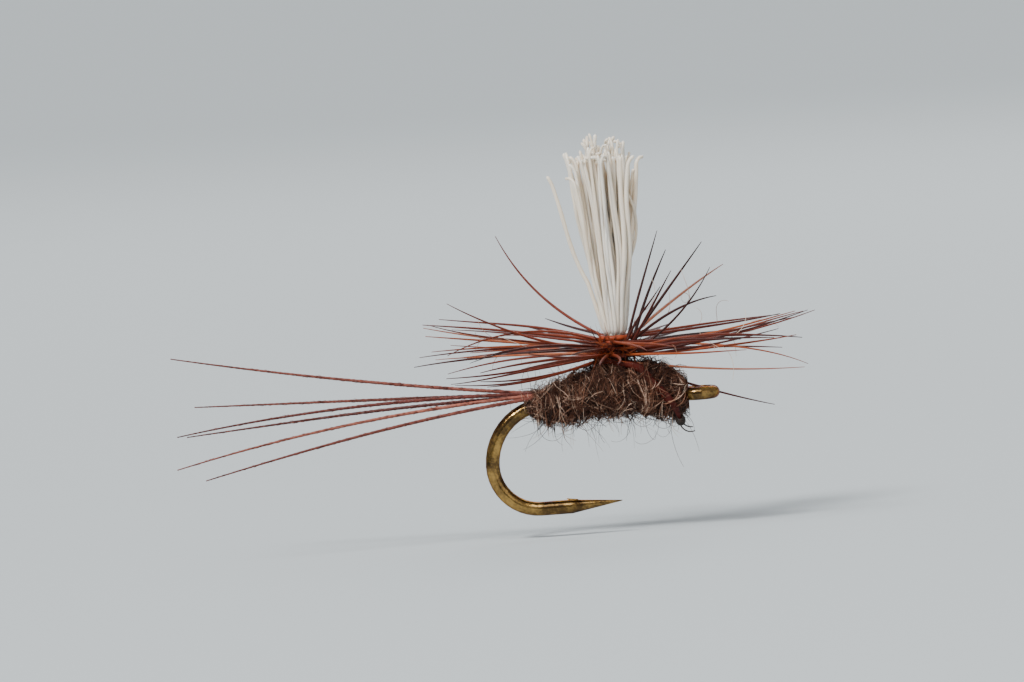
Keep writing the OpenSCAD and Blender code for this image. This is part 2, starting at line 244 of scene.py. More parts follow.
def tube_faces(count, points, sides):
    """Faces of closed tubes whose points are their rings, then the tip, then the root."""
    per = points * sides + 2
    k = np.arange(sides)
    j = (k + 1) % sides
    row = np.arange(points - 1)[:, None] * sides
    quads = np.stack([row + k, row + j, row + sides + j, row + sides + k], -1).reshape(-1, 4)
    last_row = (points - 1) * sides
    tips = np.stack([last_row + k, last_row + j, np.full(sides, per - 2)], -1)
    roots = np.stack([j, k, np.full(sides, per - 1)], -1)
    shift = (np.arange(count) * per)[:, None, None]
    all_quads = (quads[None] + shift).reshape(-1, 4)
    all_triangles = (np.concatenate([tips, roots])[None] + shift).reshape(-1, 3)
    return all_quads.tolist() + all_triangles.tolist()


def tubes(name, paths, radii, sides=3, tint=None, flat=None, flat_way=(0.31, 0.83, 0.47)):
    """One mesh of closed tubes. paths is (strands, points, 3) and radii (strands, points), in mm.
    flat widens the section along flat_way by that ratio; no strand may start along flat_way."""
    paths = np.asarray(paths, float)
    if paths.ndim == 2:
        paths = paths[None]
    count, points, _ = paths.shape
    radii = np.broadcast_to(np.asarray(radii, float), (count, points))
    tangent, normal = section_ways(paths, np.asarray(flat_way, float))
    side = np.cross(tangent, normal)
    turn = np.arange(sides) * 2 * np.pi / sides
    wide = 1.0 if flat is None else np.asarray(flat, float).reshape(1, -1, 1, 1)
    rings = (
        paths[:, :, None]
        + radii[..., None, None] * np.cos(turn)[:, None] * normal[:, :, None]
        + radii[..., None, None] * wide * np.sin(turn)[:, None] * side[:, :, None]
    )
    tip = paths[:, -1] + tangent[:, -1] * radii[:, -1:]
    root = paths[:, 0] - tangent[:, 0] * radii[:, :1] * 0.5
    per = points * sides + 2
    vertices = np.concatenate(
        [rings.reshape(count, points * sides, 3), tip[:, None], root[:, None]], axis=1
    ).reshape(-1, 3)
    mesh = bpy.data.meshes.new(name)
    mesh.from_pydata((vertices / MM).tolist(), [], tube_faces(count, points, sides))
    t = np.repeat(np.linspace(0, 1, points), sides)
    set_values(mesh, "along", np.tile(np.concatenate([t, [1.0, 0.0]]), count))
    if tint is None:
        tint = np.full(count, 0.5)
    set_values(mesh, "tint", np.repeat(tint, per))
    return add_mesh(name, mesh)


def closed_rings(name, rings, ends, tint, flip=False):
    """A mesh through rings, as (rows, columns, 3) in mm, closed by fans to its two ends."""
    rows, columns, _ = rings.shape
    points = np.concatenate([rings.reshape(-1, 3), ends])
    k = np.arange(columns)
    j = (k + 1) % columns
    row = np.arange(rows - 1)[:, None] * columns
    last = (rows - 1) * columns
    walls = np.stack([row + k, row + columns + k, row + columns + j, row + j], -1).reshape(-1, 4)
    first_fan = np.stack([k, j, np.full(columns, rows * columns)], -1)
    last_fan = np.stack([last + j, last + k, np.full(columns, rows * columns + 1)], -1)
    if flip:
        walls = walls[:, [0, 3, 2, 1]]
        first_fan, last_fan = first_fan[:, [1, 0, 2]], last_fan[:, [1, 0, 2]]
    mesh = bpy.data.meshes.new(name)
    mesh.from_pydata((points / MM).tolist(), [], walls.tolist() + first_fan.tolist() + last_fan.tolist())
    set_values(mesh, "tint", tint)
    set_values(mesh, "along", np.full(len(points), 0.5))
    return add_mesh(name, mesh)


def join(name, objects):
    """One mesh from several; the parts keep their attributes."""
    bpy.ops.object.select_all(action="DESELECT")
    for obj in objects:
        obj.select_set(True)
    bpy.context.view_layer.objects.active = objects[0]
    bpy.ops.object.join()
    objects[0].name = name
    return objects[0]


def finish_piece(obj, material, bend=None, replaces=()):
    """Gives a piece its finish; without bend it goes with the fly's body. bend is (moving body, start,
    end) in mm: when it is given, the piece's place is baked into its mesh and it gets no body; the moving body,
    start and end in it are not read."""
    obj.data.materials.append(material)
    if bend:
        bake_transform(obj)
    else:
        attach(obj, "fly_body")
    if replaces:
        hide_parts(*replaces)


# ---------- materials ----------


class Finish:
    """A Principled material with short calls for the nodes that this scene uses."""

    def __init__(self, name):
        self.material = bpy.data.materials.new(name)
        self.material.use_nodes = True
        self.nodes = self.material.node_tree.nodes
        self.links = self.material.node_tree.links
        self.shader = self.nodes["Principled BSDF"]
        place = self.nodes.new("ShaderNodeTexCoord").outputs["Object"]
        self.mm = self.vector_math("SCALE", place, MM)

    def vector_math(self, operation, a, scale):
        node = self.nodes.new("ShaderNodeVectorMath")
        node.operation = operation
        self.links.new(a, node.inputs[0])
        node.inputs["Scale"].default_value = scale
        return node.outputs[0]

    def math(self, operation, a, b=0.0, c=0.0):
        node = self.nodes.new("ShaderNodeMath")
        node.operation = operation
        for socket, value in zip(node.inputs, (a, b, c)):
            self.feed(value, socket)
        return node.outputs[0]

    def feed(self, value, socket):
        """Links a socket or sets a plain value."""
        if isinstance(value, bpy.types.NodeSocket):
            self.links.new(value, socket)
        else:
            socket.default_value = value

    def point_value(self, name):
        node = self.nodes.new("ShaderNodeAttribute")
        node.attribute_name = name
        return node.outputs["Fac"]

    def noise(self, per_mm, detail=3.0, stretch=None):
        """Noise of per_mm features a millimetre; stretch scales it along X, Y and Z."""
        node = self.nodes.new("ShaderNodeTexNoise")
        node.inputs["Scale"].default_value = per_mm
        node.inputs["Detail"].default_value = detail
        source = self.mm
        if stretch:
            scale = self.nodes.new("ShaderNodeVectorMath")
            scale.operation = "MULTIPLY"
            self.links.new(self.mm, scale.inputs[0])
            scale.inputs[1].default_value = stretch
            source = scale.outputs[0]
        self.links.new(source, node.inputs["Vector"])
        return node.outputs["Fac"]

    def ramp(self, value, *stops):
        """Colour by value, from stops of (place, colour)."""
        node = self.nodes.new("ShaderNodeValToRGB")
        elements = node.color_ramp.elements
        while len(elements) < len(stops):
            elements.new(0.5)
        for element, (place, colour) in zip(elements, stops):
            element.position = place
            element.color = (*colour, 1.0)
        self.links.new(value, node.inputs["Fac"])
        return node.outputs["Color"]

    def multiply(self, colour, by, amount):
        """colour times by, as far as amount."""
        node = self.nodes.new("ShaderNodeMix")
        node.data_type = "RGBA"
        node.blend_type = "MULTIPLY"
        self.links.new(colour, node.inputs["A"])
        node.inputs["B"].default_value = (*by, 1.0)
        self.links.new(amount, node.inputs["Factor"])
        return node.outputs["Result"]

    def bump(self, height, depth_mm, strength=1.0):
        node = self.nodes.new("ShaderNodeBump")
        node.inputs["Distance"].default_value = depth_mm / MM
        node.inputs["Strength"].default_value = strength
        self.links.new(height, node.inputs["Height"])
        self.links.new(node.outputs["Normal"], self.shader.inputs["Normal"])

    def set(self, **values):
        """Sets the shader's inputs; an underscore in a name stands for a space."""
        for name, value in values.items():
            self.feed(value, self.shader.inputs[name.replace("_", " ")])


def feather_finish(name, ribs, rough, *stops):
    """Glossy feather fibre: its tint picks its colour, painted shade makes its tip darker and duller so that its
    root by the stem reads as lit, and fine ribs cross it.
    """
    f = Finish(name)
    along, tint = f.point_value("along"), f.point_value("tint")
    patchy, centred = 0.24, -0.12
    shade = f.math("MULTIPLY_ADD", f.noise(5.0), patchy, f.math("MULTIPLY_ADD", tint, 1.0, centred))
    colour = f.ramp(shade, *stops)
    # painted shade: the tip is darkened and dulled, which leaves the root by the stem bright as if lit
    painted_tip_shade = (0.45, 0.36, 0.36)
    f.set(
        Base_Color=f.multiply(colour, painted_tip_shade, f.math("POWER", along, 1.5)),
        Roughness=f.math("MULTIPLY_ADD", f.noise(14.0), 0.3, rough),
        Specular_IOR_Level=0.2,
        Coat_Weight=0.04,
        Coat_Roughness=0.2,
    )
    wave = f.math("SINE", f.math("MULTIPLY", along, ribs * 2 * math.pi))
    f.bump(wave, 0.004, 0.5)
    return f.material


def yarn_finish():
    """Polypropylene yarn: warm white, slightly see-through, with faint lengthwise streaks."""
    f = Finish("white_yarn")
    streak = f.noise(9.0, 4.0, (1.0, 1.0, 0.06))
    shade = f.math("MULTIPLY_ADD", f.point_value("tint"), 0.45, f.math("MULTIPLY", streak, 0.6))
    warm_whites = [
        (0.1, (0.66, 0.54, 0.41)),
        (0.5, (0.77, 0.67, 0.54)),
        (0.9, (0.87, 0.80, 0.69)),
    ]
    f.set(
        Base_Color=f.ramp(shade, *warm_whites),
        Roughness=f.math("MULTIPLY_ADD", streak, 0.25, 0.28),
        Subsurface_Weight=0.5,
        Subsurface_Radius=(1.0, 0.85, 0.7),
        Subsurface_Scale=0.16 / MM,
        Sheen_Weight=0.15,
    )
    f.bump(streak, 0.01, 0.6)
    return f.material


def fur_finish(name, rough, *stops):
    """Animal fur: each fibre its own shade, with painted shade that darkens it towards its root, from near black
    to pale tips.
    """
    f = Finish(name)
    patchy, centred = 0.24, -0.12
    tint = f.point_value("tint")
    shade = f.math("MULTIPLY_ADD", f.noise(2.5), patchy, f.math("MULTIPLY_ADD", tint, 1.0, centred))
    # painted shade: each fibre is darker towards its root, where the fibres over it shade it
    lift = f.math("MULTIPLY_ADD", f.point_value("along"), 0.16, -0.1)
    f.set(
        Base_Color=f.ramp(f.math("ADD", shade, lift), *stops),
        Roughness=f.math("MULTIPLY_ADD", f.noise(20.0), 0.3, rough),
        Specular_IOR_Level=0.24,
    )
    f.bump(f.noise(45.0, 2.0), 0.004, 0.6)
    return f.material


def bronze_finish():
    """Bronzed wire under clear lacquer: amber metal with darker, greener patches and pits."""
    f = Finish("bronzed_wire")
    patch = f.noise(2.2, 5.0)
    fine = f.noise(16.0, 3.0)
    shade = f.math("MULTIPLY_ADD", fine, 0.3, f.math("MULTIPLY", patch, 0.8))
    ambers = [
        (0.3, (0.024, 0.013, 0.005)),
        (0.48, (0.11, 0.06, 0.017)),
        (0.7, (0.44, 0.26, 0.07)),
    ]
    f.set(
        Base_Color=f.ramp(shade, *ambers),
        Metallic=1.0,
        Roughness=f.math("MULTIPLY_ADD", fine, 0.18, 0.07),
        Specular_Tint=(0.3, 0.16, 0.07, 1.0),
        Coat_Weight=0.3,
        Coat_Roughness=0.05,
    )
    f.bump(f.noise(7.0, 4.0), 0.012, 0.8)
    return f.material


def thread_finish():
    """Waxed brown-black thread with the faint twist of its filaments."""
    f = Finish("tying_thread")
    twist = f.noise(30.0, 3.0, (0.35, 1.0, 1.0))
    f.set(
        Base_Color=f.ramp(twist, (0.35, (0.006, 0.004, 0.003)), (0.65, (0.035, 0.02, 0.014))),
        Roughness=f.math("MULTIPLY_ADD", twist, 0.3, 0.35),
        Specular_IOR_Level=0.3,
    )
    f.bump(twist, 0.006, 0.8)
    return f.material


bronze = bronze_finish()
thread = thread_finish()
yarn = yarn_finish()
feather = feather_finish(
    "hackle_barb",
    160,
    0.22,
    (0.0, (0.022, 0.006, 0.004)),
    (0.3, (0.085, 0.012, 0.006)),
    (0.55, (0.2, 0.034, 0.012)),
    (0.78, (0.44, 0.098, 0.024)),
    (1.0, (0.56, 0.22, 0.13)),
)
tail_feather = feather_finish(
    "tail_barb",
    90,
    0.25,
    (0.1, (0.045, 0.010, 0.009)),
    (0.5, (0.14, 0.033, 0.025)),
    (0.9, (0.36, 0.12, 0.08)),
)
quill = feather_finish(
    "hackle_quill",
    60,
    0.42,
    (0.1, (0.05, 0.005, 0.002)),
    (0.5, (0.17, 0.014, 0.004)),
    (0.9, (0.42, 0.09, 0.024)),
)
fur = fur_finish(
    "dubbing_fur",
    0.35,
    (0.05, (0.008, 0.003, 0.002)),
    (0.35, (0.042, 0.013, 0.006)),
    (0.58, (0.112, 0.040, 0.020)),
    (0.8, (0.33, 0.155, 0.092)),
    (1.0, (0.76, 0.53, 0.39)),
)
# painted shade: the underfur is coloured near black, partly the core's own dark colour and partly the shadow in
# the gaps between locks of fur
painted_shade_underfur = fur_finish(
    "dubbing_underfur",
    0.65,
    (0.2, (0.004, 0.002, 0.001)),
    (0.55, (0.013, 0.005, 0.003)),
    (0.9, (0.04, 0.016, 0.009)),
)
guard_hair = fur_finish(
    "guard_hair",
    0.21,
    (0.1, (0.01, 0.005, 0.004)),
    (0.45, (0.07, 0.032, 0.02)),
    (0.75, (0.3, 0.17, 0.11)),
    (1.0, (0.8, 0.64, 0.5)),
)


def paint(material, *nodes):
    """Gives CAD nodes, whose shapes stay, their finish."""
    for node in nodes:
        for material_slot in frame["nodes"][node].material_slots:
            material_slot.material = material


paint(bronze, "hook")
paint(thread, "thread_base", "tail_lashing", "post_foot_lashing", "post_collar")
paint(thread, "head_whip_finish", "stem_tie_off")
paint(tail_feather, "tail_butts")
paint(yarn, "wing_post_butts")


# ---------- hackle ----------


def stem_point(angle):
    """A place on the wound stem, angle degrees down its turns; negative angles lie level on top."""
    a = np.radians(angle)
    z = stem_top - stem_pitch * np.maximum(angle, 0) / 360
    return np.stack([post_x + stem_orbit * np.cos(a), stem_orbit * np.sin(a), z], -1)


def build_stem():
    """The quill: wound round the post, then flattened where it is tied down over the thorax."""
    first_turn = -330  # a level turn on top, which hides the collar's edge
    wound = smooth(stem_point(np.arange(first_turn, stem_leave + 1, 20)), 380)
    t = np.linspace(0, 1, len(wound))
    ripple = 1 + 0.06 * np.sin(t * 260) + 0.05 * np.sin(t * 97)
    thinning = 1 - 0.25 * t
    turns = tubes("stem_turns", wound, stem_r * thinning * ripple, 14, np.array([0.62]))

    tied_down = smooth(
        [
            wound[-12],
            [post_x + 0.5, -0.52, stem_bottom - 0.14],
            [-1.24, -0.61, 0.43],
            [-0.94, -0.67, 0.09],
            [-0.68, -0.65, -0.26],
            knot,
        ],
        90,
    )
    t = np.linspace(0, 1, len(tied_down))
    radii = 0.75 * stem_r * (1 - 0.1 * t) * (1 + 0.07 * np.sin(t * 40))
    widen = 1 + 1.25 * np.sin(np.pi * np.clip(t * 1.05, 0, 1)) ** 0.6
    strip = tubes("stem_strip", tied_down, radii, 14, np.array([0.25]), widen, UP)
    whole = join("hackle_stem_quill", [turns, strip])
    finish_piece(whole, quill, replaces=("hackle_stem",))


# Barbs in the fly's side plane: (rise, lean, length, curl, turn, tint). rise is up from level and
# lean is towards the fly's right side, both in degrees at the root; curl is how far the barb bends
# up; turn counts the stem's turns down from the top; tint picks a colour from near black to pink.
# In both tables the tints are partly each barb's own colour and partly painted light and shade: barbs that stand
# in shade are given darker tints and lit ones brighter.
FRONT_BARBS = [
    (72, 8, 3.1, -2, 0.2, 0.10),
    (69, -6, 2.6, -6, 0.4, 0.05),
    (62, 14, 1.75, -12, 0.1, 0.15),
    (38, -38, 4.1, -14, 0.3, 0.95),
    (50, 6, 3.3, 2, 0.8, 0.08),
    (40, -10, 2.6, -32, 0.5, 0.12),
    (56, 24, 2.9, 4, 2.2, 0.20),
    (24, 30, 3.6, 38, 2.6, 0.10),
    (4, 12, 5.0, 13, 2.8, 0.15),
    (0, 8, 5.0, 16, 1.6, 0.50),
    (2, -14, 4.7, 10, 1.2, 0.58),
    (9, 4, 4.6, -19, 1.0, 0.30),
    (2, 26, 4.3, 10, 2.4, 0.25),
    (-11, -13, 5.0, 9, 3.0, 0.92),
    (6, -18, 5.0, -33, 1.4, 0.82),
    (-2, -30, 4.6, -6, 2.0, 0.38),
    (7, 30, 4.5, -10, 1.8, 0.30),
    (-24, -14, 4.4, 8, 3.1, 0.30),
    (3, -34, 4.7, -2, 0.9, 0.52),
    (1, -26, 4.6, 4, 0.6, 0.35),
    (0, 20, 4.7, 8, 2.0, 0.62),
    (4, -4, 4.3, 4, 1.5, 0.35),
]
REAR_BARBS = [
    (8, 14, 4.8, 1, 1.5, 0.86),
    (8, 18, 4.8, 10, 1.3, 0.42),
    (7, 20, 4.7, -7, 1.7, 0.66),
    (6, 12, 5.0, -9, 1.9, 0.35),
    (9, 22, 4.6, 26, 1.1, 0.52),
    (17, -8, 4.4, -12, 0.9, 0.45),
    (24, 20, 4.5, -48, 0.4, 0.50),
    (14, 38, 4.4, -26, 1.4, 0.22),
    (24, -42, 5.1, 40, 0.8, 0.48),
    (-9, 22, 4.4, 10, 2.9, 0.35),
    (-17, 26, 4.4, 25, 3.2, 0.35),
    (-15, 34, 3.9, 16, 3.3, 0.45),
    (10, -24, 4.7, -4, 1.0, 0.40),
    (4, -34, 4.7, -8, 2.2, 0.55),
    (2, -28, 4.6, 6, 2.2, 0.60),
    (11, 6, 4.7, -3, 0.7, 0.48),
]
# Level barbs towards both sides: (forward or back, right or left, how many, extra rise).
SIDE_FANS = [(1, -1, 9, 0), (-1, -1, 10, 5), (1, 1, 6, 3), (-1, 1, 6, 3)]


def side_way(forward, rise, lean):
    """Unit vectors from the angles of the tables above; forward is 1 or -1."""
    e, d = np.radians(rise), np.radians(lean)
    return np.stack([forward * np.cos(d) * np.cos(e), -np.sin(d) + 0 * e, np.cos(d) * np.sin(e)], -1)


def hackle_barbs(rng):
    """Every barb as (forward, rise, lean, length, curl, turn, tint)."""
    placed = [(1, *row) for row in FRONT_BARBS] + [(-1, *row) for row in REAR_BARBS]
    rows = list(placed)
    twin_differs = [0, 2.2, 8, 0.25, 4, 0.25, 0.16]
    for row in placed:
        forward, rise, _, _, curl, _, _ = row
        stray = abs(rise) > 22 or abs(curl) > 30
        twin_chance = 0.2 if forward > 0 else 0.5
        if rng.random() < twin_chance and not stray:
            rows.append(tuple(np.array(row) + rng.normal(0, 1, 7) * twin_differs))
    nearest_lean, lean_range = 42, 46
    for forward, side, count, higher in SIDE_FANS:
        for i in range(count):
            lean = side * (nearest_lean + lean_range * (i + rng.uniform(0.2, 0.8)) / count)
            climb = math.sin(math.radians(rng.uniform(-3, 4) + higher))
            across = abs(lean) < 80
            rise = math.degrees(math.asin(climb / math.cos(math.radians(lean)))) if across else 0
            length, curl = rng.uniform(4.3, 4.9), rng.normal(0, 8)
            turn, tint = rng.uniform(0.2, 3.0), rng.beta(1.6, 1.8)
            rows.append((forward, rise, lean, length, curl, turn, tint))
    return np.array(rows)


def build_hackle():
    """The barbs, in four pieces, one for each quarter of the fan."""
    rng = np.random.default_rng(21)
    forward, rise, lean, length, curl, turn, tint = hackle_barbs(rng).T
    count, steps = len(rise), 20
    barb_r = 0.038
    azimuth, _ = headings(side_way(forward, rise, lean))
    behind = 25  # degrees round the stem from a barb's root to the way it points
    root_angle = np.clip(360 * np.floor(turn) + (azimuth - behind) % 360, 5, stem_leave)
    start = stem_point(root_angle) + aim(root_angle, 0) * stem_r * 0.5
    start[:, 2] += 0.02 * rng.normal(0, 1, count)
    t = (np.arange(steps) + 0.5)[None, :] / steps
    sweep = 7 * rng.normal(0, 1, (count, 1))
    moves = side_way(forward[:, None], rise[:, None] + curl[:, None] * t, lean[:, None] + sweep * t)
    moves *= (length / steps)[:, None, None]
    paths = np.concatenate([start[:, None], start[:, None] + np.cumsum(moves, axis=1)], axis=1)
    paths += wander(rng, count, steps + 1, 0.03)
    radii = taper(count, steps + 1, barb_r * rng.uniform(0.85, 1.15, count), 0.22, 2.4)
    radii[:, 0] *= 0.3  # a fine root, so that no blunt end shows on the stem

    bend_from, bend_to = -0.12, 0.9  # mm out from the hinge
    half_quarter = math.cos(math.radians(45))
    for name, middle, wisps in (("front", 0, 16), ("left", 90, 0), ("rear", 180, 8), ("right", 270, 0)):
        mine = np.cos(np.radians(azimuth - middle)) >= half_quarter
        outward = aim(middle, 0)
        hinge = pivot(f"hackle_{name}_flex")
        bend = (f"hackle_{name}", hinge + bend_from * outward, hinge + bend_to * outward)
        tints = np.clip(tint[mine], 0, 1)
        obj = tubes(f"hackle_{name}_barbs", paths[mine], radii[mine], 8, tints)
        finish_piece(obj, feather, bend, (f"hackle_barbs_{name}",))
        if wisps:
            build_wisps(rng, f"{name}_caught_fur", paths[mine], wisps, bend)


def build_wisps(rng, name, barbs, count, bend):
    """Fine pale fur caught among the barbs: each wisp starts on a barb and curls along it."""
    strand = rng.integers(0, len(barbs), count)
    at = rng.integers(5, 15, count)
    start = barbs[strand, at]
    azimuth, elevation = headings(unit(barbs[strand, at + 1] - start))
    azimuth = azimuth + rng.normal(0, 20, count)
    elevation = elevation + rng.normal(0, 20, count)
    curl, sweep = rng.normal(0, 110, count), rng.normal(0, 60, count)
    paths = arcs(start, azimuth, elevation, rng.uniform(0.4, 1.3, count), curl, sweep, 24)
    obj = tubes(name, paths, taper(count, 25, 0.008, 0.5), 4, rng.uniform(0.7, 1.0, count))
    finish_piece(obj, guard_hair, bend)


def build_web():
    """The short soft fibres that stand out of the wound stem between the barbs."""
    rng = np.random.default_rng(5)
    count, steps = 420, 6
    angle = rng.uniform(0, stem_leave, count)
    on_stem = stem_point(angle) + aim(angle, 0) * stem_r * 0.5
    start = on_stem + UP * rng.uniform(-1, 1, (count, 1)) * stem_r * 0.7
    azimuth = angle + rng.choice([-1, 1], count) * rng.uniform(20, 85, count)
    elevation, length = rng.normal(4, 22, count), rng.uniform(0.18, 0.75, count)
    curl, sweep = rng.normal(0, 30, count), rng.normal(0, 40, count)
    paths = arcs(start, azimuth, elevation, length, curl, sweep, steps)
    paths += wander(rng, count, steps + 1, 0.02)
    radii = taper(count, steps + 1, rng.uniform(0.008, 0.02, count))
    obj = tubes("hackle_web", paths, radii, 4, rng.uniform(0.05, 0.8, count))
    finish_piece(obj, feather)


# ---------- tail ----------

# Each tail fibre: (azimuth, elevation, curl, share of the full length, sweep), angles in degrees.
TAIL_FIBRES = [
    (188, -5.0, -8, 0.93, 3),
    (184, -1.5, -11, 1.00, 4),
    (182, 3.0, -11, 0.99, -2),
    (179, 7.0, 5, 1.00, -3),
    (173, 2.5, -1, 0.93, 5),
    (170, 0.5, -7, 0.99, -4),
]


def build_tail():
    """Six hackle fibres, each ribbed and edged with short barbules that lie along it."""
    tail_l, fibre_r, tucked = 9.5, 0.05, 0.25
    lay_r, lay_step = tail_root[2], 18.0  # they lie side by side round the top of the shank
    rng = np.random.default_rng(8)
    steps = 150
    bend = ("tail", tail_root + [0.05, 0, 0], tail_root + [-1.1, 0, 0])
    for k, (azimuth, elevation, curl, share, sweep) in enumerate(TAIL_FIBRES):
        lay = math.radians((k - 2.5) * lay_step)
        start = np.array([tail_root[0] + tucked, lay_r * math.sin(lay), lay_r * math.cos(lay)])
        path = arcs(start, azimuth, elevation, tail_l * share + tucked, curl, sweep, steps)
        path += wander(rng, 1, steps + 1, 0.04, 1.5)
        rib = 1 + 0.1 * np.cos(np.arange(steps + 1) * np.pi * 0.8)
        radii = taper(1, steps + 1, fibre_r, 0.3, 2.0) * rib
        tint = np.array([rng.uniform(0.35, 0.85)])
        shaft = tubes(f"tail_shaft_{k + 1}", path, radii, 8, tint)
        barbules = tail_barbules(rng, path[0], radii[0])
        whole = join(f"tail_fibre_shaft_{k + 1}", [shaft, barbules])
        finish_piece(whole, tail_feather, bend, (f"tail_fibre_{k + 1}",))


def tail_barbules(rng, path, radii):
    """Short barbules in two rows, pressed along the fibre and thinning out towards its tip."""
    count, points = 260, 5
    at = np.sort(rng.uniform(0.06, 0.97, count))
    i = (at * (len(path) - 1)).astype(int)
    tangent = unit(np.gradient(path, axis=0))[i]
    side = unit(np.cross(tangent, UP)) * rng.choice([-1, 1], (count, 1))
    lift = UP * rng.normal(0, 0.5, (count, 1))
    out = unit(side + lift)
    length = 0.2 * (1 - 0.5 * at) * rng.uniform(0.6, 1.2, count)
    t = np.linspace(0, 1, points)[None, :, None]
    spread_out = radii[i][:, None, None] * (0.5 + 1.1 * np.sin(t * np.pi * 0.62))
    paths = path[i][:, None] + tangent[:, None] * length[:, None, None] * t + out[:, None] * spread_out
    return tubes("tail_barbules", paths, taper(count, points, 0.010), 3, rng.uniform(0.2, 1, count))


# ---------- wing post ----------


def build_post():
    """Brushed-out yarn: filaments pressed together at the collar, opening upwards, tips curled."""
    rng = np.random.default_rng(4)
    count, points, filament_r = 96, 48, 0.055
    foot_r, mouth_r, flare = 0.22, 0.285, 0.57
    mixed, bowed, waved = 0.16, 0.045, 0.03  # how far filaments leave their own straight lines
    i = np.arange(count)
    share = np.sqrt((i + 0.5) / count)
    turn = i * math.radians(GOLDEN_ANGLE)
    place = np.stack([share * np.cos(turn), share * np.sin(turn)], -1)
    full = post_top - post_seat[2]
    height = full * (0.93 + 0.1 * rng.uniform(-1, 1, count) ** 3 - 0.05 * share * rng.random(count))
    t = np.linspace(0, 1, points)[None, :]

    half_width = foot_r + (mouth_r - foot_r) * grow(t, 0, 0.03) + flare * t**0.92
    cross = place[:, None] + rng.normal(0, mixed, (count, 1, 2)) * np.clip(t * 1.6, 0, 1)[..., None]
    lean = np.array([-0.11, 0.0])
    xy = cross * half_width[..., None] + lean * t[..., None] ** 2
    z = height[:, None] * t
    waves = np.sin(t * rng.uniform(4, 11, (count, 1)) + rng.uniform(0, ANY_PHASE, (count, 1)))
    xy = xy + rng.normal(0, bowed, (count, 1, 2)) * np.sin(np.pi * t)[..., None]
    xy = xy + rng.normal(0, waved, (count, 1, 2)) * (waves * np.clip(t * 3, 0, 1))[..., None]

    # One filament strays out behind, and one bows out in front and comes back.
    rear_stray, front_stray = np.argmin(place[:, 0]), np.argmax(place[:, 0])
    xy[rear_stray, :, 0] -= 0.5 * grow(t[0], 0.33, 0.67) ** 0.85
    z[rear_stray] *= 0.96
    xy[front_stray, :, 0] += 0.28 * np.sin(np.pi * grow(t[0], 0.34, 0.46))
    xy[front_stray, :, 0] -= 0.2 * grow(t[0], 0.7, 0.3)

    curl = grow(t, 0.93, 0.07)
    way = rng.uniform(0, 2 * np.pi, count)
    small, middling, large = 0.04, 0.11, 0.22
    size = rng.choice([small, middling, large], count, p=[0.4, 0.35, 0.25])
    hook = np.stack([np.cos(way), np.sin(way)], -1)[:, None] * (size[:, None] * curl**1.6)[..., None]
    drop = size[:, None] * 0.7 * curl**2.6
    paths = np.concatenate([xy + hook, (z - drop)[..., None]], -1) + post_seat
    paths[:, 0, 2] -= 0.03
    radii = taper(count, points, filament_r * rng.uniform(0.75, 1.2, count), 0.75, 8.0)
    radii = radii * (1 + 0.05 * np.sin(t * rng.uniform(20, 60, (count, 1)) + way[:, None]))
    obj = tubes("wing_post_yarn", paths, radii, 8, rng.uniform(0, 1, count))
    bend = ("wing_post", post_seat, post_seat + UP * 0.9)
    finish_piece(obj, yarn, bend, ("wing_post",))


# ---------- dubbed body ----------

# The fur's skin: (distance back from the eye, height above, beside and below the wire's middle).
SKIN = np.array(
    [
        (0.25, 0.24, 0.22, 0.24),
        (0.42, 0.44, 0.36, 0.50),
        (0.60, 0.60, 0.46, 0.58),
        (0.85, 0.76, 0.53, 0.53),
        (1.10, 0.84, 0.56, 0.42),
        (1.40, 0.90, 0.55, 0.38),
        (1.75, 0.94, 0.52, 0.34),
        (2.10, 0.96, 0.49, 0.30),
        (2.40, 0.94, 0.47, 0.30),
        (2.70, 0.84, 0.46, 0.33),
        (3.00, 0.70, 0.45, 0.37),
        (3.55, 0.50, 0.42, 0.44),
        (4.00, 0.39, 0.36, 0.42),
        (4.30, 0.30, 0.27, 0.30),
        (4.55, 0.20, 0.19, 0.19),
    ]
)
LUMPS_SEED = 70
least_fur_r = wire_r + 0.02
hair_tip = 0.35  # a fur fibre's thickness at its tip, as a share of its root's
root_depth = 0.85  # where loose hairs start, as a share of the way out to the skin


def lumps(s, angle, seed):
    """Uneven fullness of hand-spun fur, about -1 to 1."""
    rng = np.random.default_rng(seed)
    waves, full_swing = 10, 3.4
    total = np.zeros(np.broadcast(s, angle).shape)
    for _ in range(waves):
        k, m = rng.uniform(2, 12), rng.integers(1, 6)
        total += np.sin(k * s + m * angle + rng.uniform(0, ANY_PHASE)) * rng.uniform(0.4, 1)
    return total / full_swing


def skin(s, angle):
    """Distance from the wire to the fur's skin, at angle in radians from the top."""
    back, tops, sides, bottoms = SKIN.T
    top, side, bottom = (np.interp(s, back, heights) for heights in (tops, sides, bottoms))
    c = np.cos(angle)
    plain = side + np.where(c > 0, top - side, bottom - side) * c * c
    wrap_pitch = 0.42
    ridge = 0.03 * np.cos(2 * np.pi * s / wrap_pitch + angle)
    return plain * (1 + 0.12 * lumps(s, angle, LUMPS_SEED)) + ridge


def build_underfur(name, front, back, seed, node):
    """The matted core of the dubbing, which shows between the locks of fur; its near-black colour is partly the
    core's own and partly painted shade for the gaps between the locks.
    """
    rows, columns = 150, 72
    s = np.linspace(front, back, rows)[:, None]
    angle = np.linspace(0, 2 * np.pi, columns, endpoint=False)[None, :]
    s, angle = np.broadcast_arrays(s, angle)
    ends = np.sin(np.pi * np.clip((s - front) / (back - front), 0, 1))
    radius = skin(s, angle) * 0.9 * np.clip(ends * 5, 0.35, 1) + 0.012 * lumps(s * 3, angle, seed)
    rings = around(s, angle, np.maximum(radius, least_fur_r))
    caps = np.stack([spine(front)[0], spine(back)[0]])
    shades = np.concatenate([lumps(s * 2.5, angle, seed + 1).ravel(), [0, 0]])
    obj = closed_rings(name, rings, caps, np.clip(0.5 + 0.3 * shades, 0, 1))
    finish_piece(obj, painted_shade_underfur, replaces=(node,))


